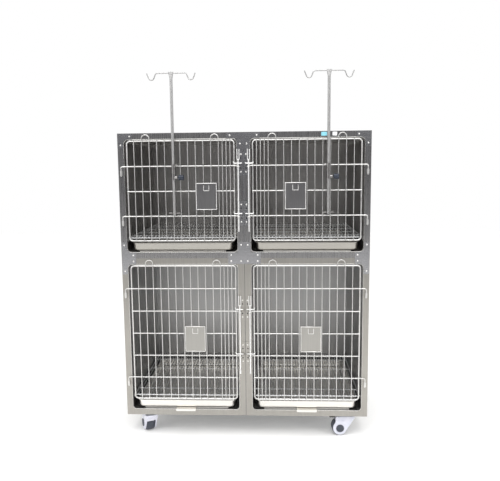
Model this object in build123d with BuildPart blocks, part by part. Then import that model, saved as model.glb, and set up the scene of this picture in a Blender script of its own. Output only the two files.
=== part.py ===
from build123d import *
import os
from dataclasses import dataclass

# A bank of four stainless kennel cages, two over two, on casters.
# X runs to the right, Y to the back and Z up. The origin is on the floor under the middle.

os.makedirs("parts", exist_ok=True)

# ------------------------------------------------------------------ overall sizes, mm
BANK_WIDTH = 1220.0
BANK_DEPTH = 700.0
LOWER_HEIGHT = 810.0
UPPER_HEIGHT = 610.0
CASTER_HEIGHT = 112.0

# Sheet metal of a cage: face frame, outer casing and pressed liner
FACE_SHEET = 1.5
CASING_SHEET = 1.2
LINER_SHEET = 1.2
RAIL = 30.0  # face border above, below and on the outer side of an opening
POST = 32.5  # face border on the side that meets the neighbouring cage
OPENING_RADIUS = 20.0
LINER_DEPTH = 658.0

# Joining plates riveted over the seams between cages
PLATE_SHEET = 1.5
PLATE_MARGIN = 1.5  # plate edge to opening edge
PLATE_ARM = 72.0  # arm of a corner plate, measured from the bank's corner
PLATE_EDGE = 2.0  # plate edge to bank edge
SEAM_PLATE_REACH = 80.0  # reach along a rail, and up or down an upright, at a seam
TOP_STEM = 85.0  # stem of the top centre plate, measured from the top
RIVET_R = 4.0
RIVET_SHOULDER_R = 3.4
RIVET_CROWN_R = 1.8
RIVET_RISE = 1.9
RIVET_SIDES = 24
RIVET_INSET = 15.0

# Door wires
FRAME_WIRE_R = 4.0
CROSS_WIRE_R = 3.0
BAR_R = 2.0
WELD = 0.5  # how far crossing wires sink into each other
CROSS_STANDOFF = 2.5  # cross wires to the face
DOOR_TOP_GAP = 8.0  # opening edge to frame wire centre
DOOR_BOTTOM_GAP = 58.0  # leaves room for the tray front
DOOR_HINGE_GAP = 15.0
DOOR_LATCH_GAP = 12.5
DOOR_CORNER = 15.0
COLUMNS = 14  # full bar spacings across a door
CLOSE_COLUMNS = (12.5, 13.0, 13.5)  # bars at half spacing beside the latch
EAR_COLUMNS = (2, 11)  # each ear joins this bar and the next
EAR_RISE = 30.0

# Hinges
PINTLE_BEND = 8.0
PINTLE_DROP = 48.0
PINTLE_CLEAR = 0.05
EYE_TUBE_R = CROSS_WIRE_R + CROSS_STANDOFF
EYE_TUBE_LENGTH = 20.0
EYE_TUBE_DROP = 24.0  # cross wire centre to the top of the eye
EYE_FOOT_WIDTH = 8.8
COLLAR_R = 5.0
COLLAR_HEIGHT = 3.0
REST_GAP = 0.3  # gap between faces of pieces that move past each other

# Latches
ROD_R = 3.5
EYE_WIRE_R = 2.5
LATCH_X = 25.0
LATCH_EYE_DROP = 4.0
LATCH_TRAVEL = 9.0
STOP_GAP = 1.0
ARM_R = 2.5
ARM_TIP = 8.0  # arm end to the bank's centre line
ARM_REACH = 17.0  # rod to the start of the arm's upturned end
ARM_BEND = 5.0
ARM_UPTURN = 10.0
PRONG_R = 2.0
PRONG_HALF = 5.0
PRONG_TOP = 79.0  # above the upper latch row
PRONG_BOTTOM = 32.0
ROD_LENGTH = 351.0  # rod end below the prongs' closed end
CATCH_WIDTH = 23.0
CATCH_HEIGHT = 120.0
CATCH_INSET = 1.0
CATCH_RISE = 12.0
CATCH_RIVET = 42.0
KEEPER_INSET = 6.0  # keeper's inner end to the bank's centre line
KEEPER_WIDTH = 10.0
KEEPER_SHEET = 1.5

# Card holders
CARD_WIDTH = 103.0
CARD_HEIGHT = 131.0
CARD_RISE = 40.0  # top edge above the cross wire behind it
CARD_SHEET = 1.0
CARD_LIP = 5.0
CARD_TAB = 26.0
CARD_TAB_DROP = 12.0
CARD_SLOT = 2.0

# Trays
TRAY_SIDE_GAP = 19.75
TRAY_DEPTH = 640.0
TRAY_HEIGHT = 41.0
TRAY_SHEET = 1.0
TRAY_CORNER = 28.0
TRAY_FOOT = 12.0
TRAY_DRAFT = 7.0
TRAY_HEM = 3.5
TRAY_SETBACK = 3.0
RUNNER_HEIGHT = 6.0
RUNNER_WIDTH = 20.0
RUNNER_SPACING = 400.0
RUNNER_LENGTH = 572.0
HANDLE_WIDTH = 100.0
HANDLE_REACH = 14.0
HANDLE_LIP = 10.5
HANDLE_SEAT = 34.0
HANDLE_SHEET = 1.5
HANDLE_CORNER = 3.0

# Floor grates
GRATE_TOP = 76.0  # above the opening's lower edge
GRATE_WIRE_R = 2.0
GRATE_EDGE_R = 3.0  # outermost wires
GRATE_BAR = 5.0  # square section of the cross bars
GRATE_PITCH = 16.2
GRATE_SIDE_GAP = 7.0
GRATE_FRONT = 18.0
GRATE_DEPTH = 628.0
GRATE_BARS = (0.0, 0.14, 0.38, 0.62, 0.86, 1.0)  # shares of the depth
LEDGE_WIDTH = 14.0
LEDGE_LEG = 16.0
LEDGE_SHEET = 2.0
LEDGE_DEPTH = 600.0

# Drip stands on the upper doors
STAND_R = 7.0
STAND_STANDOFF = 25.5  # stand centre to the face
STAND_TOP = 280.0  # above the top of the bank
STAND_BOTTOM = 6.0  # above the door's third cross wire
FLARE_HEIGHT = 30.0
FLARE_HALF_WIDTH = 12.5
FLARE_HALF_THICK = 4.5
HOOK_R = 2.6
HOOK_HALF_SPAN = 115.0
HOOK_DEPTH = 31.0
HOOK_WIDTH = 43.0
HOOK_FLOOR = 18.0
HOOK_BEND = 12.0
SLEEVE_R = 10.0
SLEEVE_LENGTH = 69.0
SLEEVE_RISE = 4.0  # sleeve top above the door's first cross wire
CLIP_R = 2.2
CLIP_BEND = 3.5
CLIP_RISE = 18.0
CLIP_HALF_SPAN = 28.0
SADDLE_OFFSET = 20.0
SADDLE_DROP = 18.0
BOSS_R = 8.0
BOSS_LENGTH = 8.0
KNOB_R = 12.5
KNOB_LENGTH = 24.0
KNOB_REACH = 25.0  # stand axis to the knob's inner face
KNOB_FLUTES = 6
KNOB_FLUTE_R = 3.5
KNOB_FLUTE_OUT = 2.0  # flute centres to the knob's rim
KNOB_ROUND = 1.5
SCREW_R = 3.0
SCREW_CLEAR = 0.1
SCREW_HEIGHT = 6.0  # above the sleeve's lower end

# Casters
WHEEL_R = 40.0
WHEEL_WIDTH = 44.0
WHEEL_ROUND = 7.0
WHEEL_CLEAR = 2.0
TRAIL = 30.0
COVER_R = 35.0
COVER_HALF = 31.0
COVER_CLEAR = 1.5
COVER_TOP = 102.0
COVER_ARCH = 66.0
COVER_LEAD = 46.0
COVER_TAIL = 50.0
COVER_LIP = 10.0  # upright edge at the leading end of the housing's top
COVER_LIP_SLANT = 2.0
COVER_HEEL = 18.0  # upright edge at its trailing end
COVER_WRAP = 24.5  # where the trailing edge meets the round of the cheek
COVER_TOE = (31.5, -14.0)  # from the axle to where the leading edge meets that round
COVER_ROUND = 3.0
BEARING_R = 24.0
AXLE_R = 8.0
AXLE_CLEAR = 0.1
CAP_R = 20.0
CAP_RISE = 3.0
CAP_ROUND = 1.8
COVER_SCREW_R = 5.5
COVER_SCREW_DEPTH = 2.0
COVER_SCREW_RISE = 44.0  # above the axle
PLATE_SIZE = 84.0
PLATE_THICK = 4.0
PLATE_CORNER = 8.0
BOLT_SPACING = 60.0
BOLT_R = 5.0
BOLT_HEAD = 3.5
CASTER_INSET_X = 105.0
CASTER_INSET_FRONT = 50.0
CASTER_INSET_BACK = 90.0
PEDAL_WIDTH = 30.0
PEDAL_LENGTH = 26.0
PEDAL_THICK = 4.0
PEDAL_PIVOT_R = 5.0
PEDAL_DROP = 6.0  # housing top to the pivot
PEDAL_CORNER = 6.0

# ------------------------------------------------------------------ planes shared by the pieces
FRONT_REACH = STAND_STANDOFF + KNOB_R
FACE_Y = -(BANK_DEPTH - FRONT_REACH) / 2
BACK_Y = FACE_Y + BANK_DEPTH
CROSS_Y = FACE_Y - CROSS_STANDOFF - CROSS_WIRE_R
BAR_Y = CROSS_Y - CROSS_WIRE_R - BAR_R + WELD
FRAME_Y = CROSS_Y + CROSS_WIRE_R + FRAME_WIRE_R - WELD
EYE_RING_R = ROD_R + REST_GAP + EYE_WIRE_R
LATCH_Y = CROSS_Y - CROSS_WIRE_R - REST_GAP - ROD_R
STAND_Y = FACE_Y - STAND_STANDOFF
SEAM_Z = CASTER_HEIGHT + LOWER_HEIGHT
TOP_Z = SEAM_Z + UPPER_HEIGHT
HALF_WIDTH = BANK_WIDTH / 2
DOOR_HINGE_WIRE = HALF_WIDTH - RAIL - DOOR_HINGE_GAP
DOOR_WIDTH = DOOR_HINGE_WIRE - POST - DOOR_LATCH_GAP
COLUMN_PITCH = DOOR_WIDTH / COLUMNS
PINTLE_X = HALF_WIDTH - RAIL / 2
OPENING_WIDTH = HALF_WIDTH - RAIL - POST
OPENING_CENTRE = POST + OPENING_WIDTH / 2
TRAY_WIDTH = OPENING_WIDTH - 2 * TRAY_SIDE_GAP


@dataclass
class Cage:
    """One cage of the bank: where it stands and how its door is divided."""

    name: str
    side: int  # -1 for the left cage, +1 for the right
    bottom: float
    height: float
    rows: int  # cross wire spacings from the top frame wire to the bottom one
    hinge_rows: tuple
    latch_rows: tuple
    card_column: float  # bar nearest the card holder's middle, from the hinge side
    card_row: int
    stand_column: float = 0.0  # where a drip stand hangs, 0 for none
    tray_handle: bool = False

    @property
    def opening_bottom(self):
        return self.bottom + RAIL

    @property
    def opening_top(self):
        return self.bottom + self.height - RAIL

    @property
    def opening_height(self):
        return self.height - 2 * RAIL

    @property
    def opening_middle(self):
        return self.bottom + self.height / 2

    @property
    def centre(self):
        return self.side * OPENING_CENTRE

    @property
    def door_top(self):
        return self.opening_top - DOOR_TOP_GAP

    @property
    def door_bottom(self):
        return self.opening_bottom + DOOR_BOTTOM_GAP

    def row(self, number):
        """Height of a cross wire, counted down from the top frame wire."""
        return self.door_top - number * (self.door_top - self.door_bottom) / self.rows

    def column(self, number):
        """X of an upright bar, counted from the hinge side."""
        return self.side * (DOOR_HINGE_WIRE - number * COLUMN_PITCH)


UPPER_LEFT = Cage("upper_left", -1, SEAM_Z, UPPER_HEIGHT, 4, (1, 3), (1, 3), 10.35, 2, 6.18)
UPPER_RIGHT = Cage("upper_right", 1, SEAM_Z, UPPER_HEIGHT, 4, (1, 3), (1, 3), 8.5, 2, 4.3)
LOWER_LEFT = Cage(
    "lower_left", -1, CASTER_HEIGHT, LOWER_HEIGHT, 6, (1, 5), (2, 4), 8.5, 3, tray_handle=True
)
LOWER_RIGHT = Cage(
    "lower_right", 1, CASTER_HEIGHT, LOWER_HEIGHT, 6, (1, 5), (2, 4), 6.45, 3, tray_handle=True
)
CAGES = (UPPER_LEFT, UPPER_RIGHT, LOWER_LEFT, LOWER_RIGHT)


def keep(part, name):
    """Labels a finished piece and writes it out under its own name."""
    part.label = name
    export_step(part, f"parts/{name}.step")


def at_y(y):
    """Upright plane facing the front, at this Y: sketch X is X, sketch Y is Z."""
    return Plane.XZ.offset(-y)


# ================================================================== cage bodies
def make_front(cage):
    """Flat front frame of one cage, with a round-cornered doorway."""
    with BuildPart() as face:
        with BuildSketch(at_y(FACE_Y)):
            with Locations((cage.side * HALF_WIDTH / 2, cage.opening_middle)):
                Rectangle(HALF_WIDTH, cage.height)
            with Locations((cage.centre, cage.opening_middle)):
                RectangleRounded(
                    OPENING_WIDTH, cage.opening_height, OPENING_RADIUS, mode=Mode.SUBTRACT
                )
        extrude(amount=-FACE_SHEET)
    keep(face.part, f"{cage.name}_face")


def make_liner(cage):
    """Tub behind the doorway: four walls, the four bends between them and a welded-in back."""
    front = FACE_Y + FACE_SHEET
    half_x = OPENING_WIDTH / 2 - OPENING_RADIUS
    half_z = cage.opening_height / 2 - OPENING_RADIUS
    reach = OPENING_RADIUS + LINER_SHEET
    wall_middle = OPENING_RADIUS + LINER_SHEET / 2
    pieces = []
    for side in (-1, 1):
        with BuildPart() as level:
            with BuildSketch(at_y(front)):
                with Locations((cage.centre, cage.opening_middle + side * (half_z + wall_middle))):
                    Rectangle(2 * half_x, LINER_SHEET)
            extrude(amount=-LINER_DEPTH)
        with BuildPart() as upright:
            with BuildSketch(at_y(front)):
                with Locations((cage.centre + side * (half_x + wall_middle), cage.opening_middle)):
                    Rectangle(LINER_SHEET, 2 * half_z)
            extrude(amount=-LINER_DEPTH)
        pieces += [*level.solids(), *upright.solids()]
        for rise in (-1, 1):
            bend_x = cage.centre + side * half_x
            bend_z = cage.opening_middle + rise * half_z
            with BuildPart() as bend:
                with BuildSketch(at_y(front)):
                    with Locations((bend_x, bend_z)):
                        Circle(reach)
                        Circle(OPENING_RADIUS, mode=Mode.SUBTRACT)
                    with Locations((bend_x + side * reach / 2, bend_z + rise * reach / 2)):
                        Rectangle(reach, reach, mode=Mode.INTERSECT)
                extrude(amount=-LINER_DEPTH)
            pieces += bend.solids()
    with BuildPart() as back:
        with BuildSketch(at_y(front + LINER_DEPTH)):
            with Locations((cage.centre, cage.opening_middle)):
                RectangleRounded(
                    OPENING_WIDTH + 2 * LINER_SHEET, cage.opening_height + 2 * LINER_SHEET, reach
                )
        extrude(amount=-LINER_SHEET)
    pieces += back.solids()
    keep(Compound(children=pieces), f"{cage.name}_liner")


def make_casings(cages, name):
    """Outer sheets of the two cages of one tier: a roof, a floor and two sides to each."""
    depth = BANK_DEPTH - FACE_SHEET - CASING_SHEET
    y = FACE_Y + FACE_SHEET + depth / 2
    sheets = []
    for cage in cages:
        x = cage.side * HALF_WIDTH / 2
        for side in (-1, 1):
            z = cage.opening_middle + side * (cage.height - CASING_SHEET) / 2
            with BuildPart() as level:
                with Locations((x, y, z)):
                    Box(HALF_WIDTH, depth, CASING_SHEET)
            with BuildPart() as upright:
                with Locations((x + side * (HALF_WIDTH - CASING_SHEET) / 2, y, cage.opening_middle)):
                    Box(CASING_SHEET, depth, cage.height - 2 * CASING_SHEET)
            sheets += [*level.solids(), *upright.solids()]
    keep(Compound(children=sheets), name)


def make_back_panels():
    """Closing sheet on the back of each cage."""
    panels = []
    for cage in CAGES:
        with BuildPart() as panel:
            with BuildSketch(at_y(BACK_Y - CASING_SHEET)):
                with Locations((cage.side * HALF_WIDTH / 2, cage.opening_middle)):
                    Rectangle(HALF_WIDTH, cage.height)
            extrude(amount=-CASING_SHEET)
        panels += panel.solids()
    keep(Compound(children=panels), "back_panels")


# ================================================================== joining plates and rivets
def plate_on_face(rectangles):
    """Flat plate on the cage faces, trimmed back from every doorway."""
    with BuildPart() as plate:
        with BuildSketch(at_y(FACE_Y)):
            for x_low, z_low, x_high, z_high in rectangles:
                with Locations(((x_low + x_high) / 2, (z_low + z_high) / 2)):
                    Rectangle(x_high - x_low, z_high - z_low)
            for cage in CAGES:
                with Locations((cage.centre, cage.opening_middle)):
                    RectangleRounded(
                        OPENING_WIDTH + 2 * PLATE_MARGIN,
                        cage.opening_height + 2 * PLATE_MARGIN,
                        OPENING_RADIUS + PLATE_MARGIN,
                        mode=Mode.SUBTRACT,
                    )
        extrude(amount=PLATE_SHEET)
    return plate.part


def make_plates():
    """Corner plates at the top and at the outer ends of the seam, and two on the centre post."""
    outer = HALF_WIDTH - PLATE_EDGE
    inner = HALF_WIDTH - PLATE_ARM
    top = TOP_Z - PLATE_EDGE
    low_arm = SEAM_Z - SEAM_PLATE_REACH
    high_arm = SEAM_Z + SEAM_PLATE_REACH
    rail_low = SEAM_Z - RAIL + PLATE_MARGIN
    rail_high = SEAM_Z + RAIL - PLATE_MARGIN
    corners = []
    for side in (-1, 1):
        x_low, x_high = sorted((side * inner, side * outer))
        corners += plate_on_face([(x_low, TOP_Z - PLATE_ARM, x_high, top)]).solids()
        corners += plate_on_face([(x_low, low_arm, x_high, high_arm)]).solids()
    keep(Compound(children=corners), "corner_plates")
    post = POST - PLATE_MARGIN
    reach = SEAM_PLATE_REACH
    centre = plate_on_face(
        [(-reach, TOP_Z - RAIL, reach, top), (-post, TOP_Z - TOP_STEM, post, top)]
    ).solids()
    centre += plate_on_face(
        [(-reach, rail_low, reach, rail_high), (-post, rail_low, post, high_arm)]
    ).solids()
    keep(Compound(children=centre), "centre_plates")


def latch_arm_height(cage, row):
    """Height of a latch arm with the rod lifted clear."""
    eye = cage.row(row) - LATCH_EYE_DROP
    return eye + EYE_WIRE_R + ARM_R + STOP_GAP + LATCH_TRAVEL


def catch_middle(cage, row):
    return cage.row(row) + CATCH_RISE


def catch_x(cage):
    return cage.side * (CATCH_INSET + CATCH_WIDTH / 2)


def make_catch_plates():
    """Plates on the centre post. Each has an open-topped keeper that a latch arm drops into."""
    plates = []
    for cage in CAGES:
        for row in cage.latch_rows:
            arm_low = latch_arm_height(cage, row) - LATCH_TRAVEL - ARM_R
            floor_top = arm_low - STOP_GAP / 2
            lip_top = latch_arm_height(cage, row) - ARM_R - STOP_GAP
            lip_front = LATCH_Y - ARM_R - STOP_GAP - KEEPER_SHEET
            plate_front = FACE_Y - PLATE_SHEET
            keeper_x = cage.side * (KEEPER_INSET + KEEPER_WIDTH / 2)
            with BuildPart() as plate:
                with Locations((catch_x(cage), FACE_Y - PLATE_SHEET / 2, catch_middle(cage, row))):
                    Box(CATCH_WIDTH, PLATE_SHEET, CATCH_HEIGHT)
                with Locations(
                    (keeper_x, (lip_front + plate_front) / 2, floor_top - KEEPER_SHEET / 2)
                ):
                    Box(KEEPER_WIDTH, plate_front - lip_front, KEEPER_SHEET)
                with Locations(
                    (keeper_x, lip_front + KEEPER_SHEET / 2, (floor_top + lip_top) / 2)
                ):
                    Box(KEEPER_WIDTH, KEEPER_SHEET, lip_top - floor_top)
            plates += plate.solids()
    keep(Compound(children=plates), "catch_plates")


def make_rivets():
    """Domed rivet heads of the joining plates and catch plates."""
    arm = HALF_WIDTH - PLATE_ARM + RIVET_INSET - PLATE_EDGE
    edge = HALF_WIDTH - RIVET_INSET
    seam_arm = SEAM_PLATE_REACH - RIVET_INSET
    points = []
    for side in (-1, 1):
        points += [(side * arm, TOP_Z - RIVET_INSET), (side * edge, TOP_Z - PLATE_ARM + RIVET_INSET)]
        points += [(side * edge, SEAM_Z + seam_arm), (side * edge, SEAM_Z - seam_arm)]
        for rise in (-RAIL / 2, RAIL / 2):
            points += [(side * arm, SEAM_Z + rise), (side * seam_arm, SEAM_Z + rise)]
        points += [(side * seam_arm, TOP_Z - RIVET_INSET)]
        points += [(side * POST / 2, TOP_Z - TOP_STEM + 2 * RIVET_INSET)]
        points += [(side * POST / 2, SEAM_Z + seam_arm), (side * POST / 2, SEAM_Z - RAIL / 2)]
    for cage in CAGES:
        for row in cage.latch_rows:
            for step in (-CATCH_RIVET, CATCH_RIVET):
                points.append((catch_x(cage), catch_middle(cage, row) + step))
    seat = at_y(FACE_Y - PLATE_SHEET)
    with BuildPart() as head:
        with BuildSketch(seat):
            RegularPolygon(RIVET_R, RIVET_SIDES)
        with BuildSketch(seat.offset(RIVET_RISE / 2)):
            RegularPolygon(RIVET_SHOULDER_R, RIVET_SIDES)
        loft()
        with BuildSketch(seat.offset(RIVET_RISE / 2)):
            RegularPolygon(RIVET_SHOULDER_R, RIVET_SIDES)
        with BuildSketch(seat.offset(RIVET_RISE)):
            RegularPolygon(RIVET_CROWN_R, RIVET_SIDES)
        loft()
    heads = [Pos(x, 0, z) * solid for x, z in points for solid in head.solids()]
    keep(Compound(children=heads), "plate_rivets")


# ================================================================== doors
def wire_along_x(radius, x_start, x_end, y, z):
    with Locations(((x_start + x_end) / 2, y, z)):
        Cylinder(radius, abs(x_end - x_start), rotation=(0, 90, 0))


def wire_along_z(radius, x, y, z_low, z_high, mode=Mode.ADD):
    with Locations((x, y, (z_low + z_high) / 2)):
        Cylinder(radius, z_high - z_low, mode=mode)


def wire_along_y(radius, x, y_start, y_end, z):
    with Locations((x, (y_start + y_end) / 2, z)):
        Cylinder(radius, abs(y_end - y_start), rotation=(90, 0, 0))


def make_door(cage):
    """Welded wire door: round frame wire behind, cross wires on it, thin upright bars in front."""
    left, right = sorted((cage.column(0), cage.column(COLUMNS)))
    top, bottom = cage.door_top, cage.door_bottom
    with BuildPart() as door:
        # frame wire, bent to a closed rectangle
        with BuildLine(at_y(FRAME_Y)) as frame_line:
            FilletPolyline(
                (left, bottom),
                (right, bottom),
                (right, top),
                (left, top),
                radius=DOOR_CORNER,
                close=True,
            )
        start = frame_line.line @ 0
        with BuildSketch(Plane(origin=start, z_dir=frame_line.line % 0)):
            Circle(FRAME_WIRE_R)
        sweep()
        # cross wires
        for number in range(cage.rows + 1):
            inset = DOOR_CORNER if number in (0, cage.rows) else -FRAME_WIRE_R / 2
            wire_along_x(CROSS_WIRE_R, left + inset, right - inset, CROSS_Y, cage.row(number))
        # upright bars, closer together beside the latch
        for number in [*range(1, 13), *CLOSE_COLUMNS]:
            wire_along_z(BAR_R, cage.column(number), BAR_Y, bottom - BAR_R, top + BAR_R)
        # ears: two pairs of bars carried up over the top and joined by a half round
        for number in EAR_COLUMNS:
            x_low, x_high = sorted((cage.column(number), cage.column(number + 1)))
            shoulder = top + EAR_RISE - COLUMN_PITCH / 2
            with BuildLine(at_y(BAR_Y)) as ear_line:
                Line((x_low, top), (x_low, shoulder))
                ThreePointArc(
                    (x_low, shoulder),
                    ((x_low + x_high) / 2, top + EAR_RISE),
                    (x_high, shoulder),
                )
                Line((x_high, shoulder), (x_high, top))
            with BuildSketch(Plane(origin=ear_line.line @ 0, z_dir=ear_line.line % 0)):
                Circle(BAR_R)
            sweep()
        # hinge pintles: cross wires carried over the upright and bent down
        for number in cage.hinge_rows:
            z = cage.row(number)
            pin_x = cage.side * PINTLE_X
            with BuildLine(at_y(CROSS_Y)) as pintle_line:
                FilletPolyline(
                    (cage.column(0), z), (pin_x, z), (pin_x, z - PINTLE_DROP), radius=PINTLE_BEND
                )
            with BuildSketch(Plane(origin=pintle_line.line @ 0, z_dir=pintle_line.line % 0)):
                Circle(CROSS_WIRE_R)
            sweep()
            collar_low = z - EYE_TUBE_DROP + REST_GAP
            wire_along_z(COLLAR_R, pin_x, CROSS_Y, collar_low, collar_low + COLLAR_HEIGHT)
        # latch eyes: cross wires carried to the post and curled round the rod
        for number in cage.latch_rows:
            z = cage.row(number)
            rod_x = cage.side * LATCH_X
            wire_along_x(CROSS_WIRE_R, cage.column(COLUMNS), rod_x, CROSS_Y, z)
            with Locations((rod_x, LATCH_Y, z - LATCH_EYE_DROP)):
                Torus(EYE_RING_R, EYE_WIRE_R)
    keep(door.part, f"{cage.name}_door")


def make_hinge_eyes():
    """Short tubes welded to the outer uprights, in which the doors' pintles turn."""
    eyes = []
    for cage in CAGES:
        for number in cage.hinge_rows:
            middle = cage.row(number) - EYE_TUBE_DROP - EYE_TUBE_LENGTH / 2
            pin_x = cage.side * PINTLE_X
            with BuildPart() as eye:
                with Locations((pin_x, CROSS_Y, middle)):
                    Cylinder(EYE_TUBE_R, EYE_TUBE_LENGTH)
                with Locations((pin_x, (CROSS_Y + FACE_Y) / 2, middle)):
                    Box(EYE_FOOT_WIDTH, FACE_Y - CROSS_Y, EYE_TUBE_LENGTH)
                with Locations((pin_x, CROSS_Y, middle)):
                    Cylinder(
                        CROSS_WIRE_R + PINTLE_CLEAR, EYE_TUBE_LENGTH, mode=Mode.SUBTRACT
                    )
            eyes += eye.solids()
    keep(Compound(children=eyes), "hinge_eyes")


def make_card_holder(cage):
    """Folded sheet pocket on the bars, lipped on three sides, with a sprung tab at the top."""
    back = BAR_Y - BAR_R
    x = cage.column(cage.card_column)
    top = cage.row(cage.card_row) + CARD_RISE
    middle = top - CARD_HEIGHT / 2
    tab_middle = top - CARD_TAB_DROP - CARD_TAB / 2
    with BuildPart() as holder:
        with BuildSketch(at_y(back)):
            with Locations((x, middle)):
                Rectangle(CARD_WIDTH, CARD_HEIGHT)
        extrude(amount=CARD_LIP)
        with BuildSketch(at_y(back - CARD_SHEET)):
            with Locations((x, middle + CARD_SHEET)):
                Rectangle(CARD_WIDTH - 2 * CARD_SHEET, CARD_HEIGHT)
        extrude(amount=CARD_LIP, mode=Mode.SUBTRACT)
        with BuildSketch(at_y(back)):
            with Locations((x, tab_middle)):
                Rectangle(CARD_TAB, CARD_TAB)
            with Locations((x, tab_middle + CARD_SLOT)):
                Rectangle(CARD_TAB - 2 * CARD_SLOT, CARD_TAB, mode=Mode.SUBTRACT)
        extrude(amount=CARD_SHEET, mode=Mode.SUBTRACT)
    keep(holder.part, f"{cage.name}_card_holder")


# ================================================================== latches
def make_latch(cage):
    """Lifting latch: rod with two welded arms and a hairpin thumb piece, shown lifted."""
    x = cage.side * LATCH_X
    upper = cage.row(cage.latch_rows[0])
    prong_bottom = upper + PRONG_BOTTOM
    with BuildPart() as latch:
        wire_along_z(ROD_R, x, LATCH_Y, prong_bottom - ROD_LENGTH, prong_bottom)
        with BuildLine(at_y(LATCH_Y)) as hairpin:
            Line((x - PRONG_HALF, upper + PRONG_TOP), (x - PRONG_HALF, prong_bottom))
            ThreePointArc(
                (x - PRONG_HALF, prong_bottom),
                (x, prong_bottom - PRONG_HALF),
                (x + PRONG_HALF, prong_bottom),
            )
            Line((x + PRONG_HALF, prong_bottom), (x + PRONG_HALF, upper + PRONG_TOP))
        with BuildSketch(Plane(origin=hairpin.line @ 0, z_dir=hairpin.line % 0)):
            Circle(PRONG_R)
        sweep()
        for number in cage.latch_rows:
            z = latch_arm_height(cage, number)
            bend_x = x + cage.side * (ARM_REACH + ARM_BEND)
            with BuildLine(at_y(LATCH_Y)) as arm:
                FilletPolyline(
                    (cage.side * ARM_TIP, z),
                    (bend_x, z),
                    (bend_x, z + ARM_UPTURN),
                    radius=ARM_BEND,
                )
            with BuildSketch(Plane(origin=arm.line @ 0, z_dir=arm.line % 0)):
                Circle(ARM_R)
            sweep()
    keep(latch.part, f"{cage.name}_latch")


# ================================================================== trays
def pan_block(width, depth, height, corner, foot):
    """Solid of a drafted pan with round corners, its top at height and its foot at zero."""
    with BuildPart() as block:
        with BuildSketch(Plane.XY.offset(height)):
            RectangleRounded(width, depth, corner)
        extrude(amount=-height, taper=TRAY_DRAFT)
        fillet(block.faces().sort_by(Axis.Z)[0].edges(), radius=foot)
    return block.part


def make_tray(cage):
    """Drip tray: a drafted pan with a wired edge, sliding on two runners."""
    outer = pan_block(
        TRAY_WIDTH - 2 * TRAY_HEM, TRAY_DEPTH - 2 * TRAY_HEM, TRAY_HEIGHT, TRAY_CORNER, TRAY_FOOT
    )
    inner = pan_block(
        TRAY_WIDTH - 2 * TRAY_HEM - 2 * TRAY_SHEET,
        TRAY_DEPTH - 2 * TRAY_HEM - 2 * TRAY_SHEET,
        TRAY_HEIGHT - TRAY_SHEET,
        TRAY_CORNER - TRAY_SHEET,
        TRAY_FOOT - TRAY_SHEET,
    )
    middle_y = FACE_Y + TRAY_SETBACK + TRAY_DEPTH / 2
    foot_z = cage.opening_bottom + RUNNER_HEIGHT + REST_GAP
    with BuildPart() as tray:
        with Locations((cage.centre, middle_y, foot_z)):
            add(outer)
            with Locations((0, 0, TRAY_SHEET)):
                add(inner, mode=Mode.SUBTRACT)
        with BuildSketch(Plane.XY.offset(foot_z + TRAY_HEIGHT)):
            with Locations((cage.centre, middle_y)):
                RectangleRounded(TRAY_WIDTH, TRAY_DEPTH, TRAY_CORNER + TRAY_HEM)
                RectangleRounded(
                    TRAY_WIDTH - 2 * TRAY_HEM - TRAY_SHEET,
                    TRAY_DEPTH - 2 * TRAY_HEM - TRAY_SHEET,
                    TRAY_CORNER - TRAY_SHEET / 2,
                    mode=Mode.SUBTRACT,
                )
        extrude(amount=-TRAY_HEM)
    keep(tray.part, f"{cage.name}_tray")


def make_tray_handle(cage):
    """Strip welded under the tray's front and folded down as a finger pull."""
    front = FACE_Y - HANDLE_REACH
    top = cage.opening_bottom + RUNNER_HEIGHT + REST_GAP
    with BuildPart() as handle:
        with BuildSketch(Plane.YZ.offset(cage.centre - HANDLE_WIDTH / 2)):
            with BuildLine():
                Polyline(
                    (FACE_Y + HANDLE_SEAT, top),
                    (front, top),
                    (front, top - HANDLE_LIP),
                    (front + HANDLE_SHEET, top - HANDLE_LIP),
                    (front + HANDLE_SHEET, top - HANDLE_SHEET),
                    (FACE_Y + HANDLE_SEAT, top - HANDLE_SHEET),
                    close=True,
                )
            make_face()
        extrude(amount=HANDLE_WIDTH)
        fold = handle.edges().filter_by(Axis.X).group_by(Axis.Y)[0].sort_by(Axis.Z)[-1]
        fillet(fold, radius=HANDLE_SHEET)
        ends = handle.edges().filter_by(Axis.Y).group_by(Axis.Z)[0]
        fillet(ends, radius=HANDLE_CORNER)
    keep(handle.part, f"{cage.name}_tray_handle")


def make_runners():
    """Folded strips on each cabin floor that the trays slide on."""
    runners = []
    y = FACE_Y + FACE_SHEET + LINER_DEPTH / 2
    for cage in CAGES:
        for step in (-RUNNER_SPACING / 2, RUNNER_SPACING / 2):
            with BuildPart() as runner:
                with Locations((cage.centre + step, y, cage.opening_bottom + RUNNER_HEIGHT / 2)):
                    Box(RUNNER_WIDTH, RUNNER_LENGTH, RUNNER_HEIGHT)
            runners += runner.solids()
    keep(Compound(children=runners), "tray_runners")


# ================================================================== floor grates
def grate_underside(cage):
    return cage.opening_bottom + GRATE_TOP - 2 * GRATE_WIRE_R + WELD - GRATE_BAR


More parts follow.
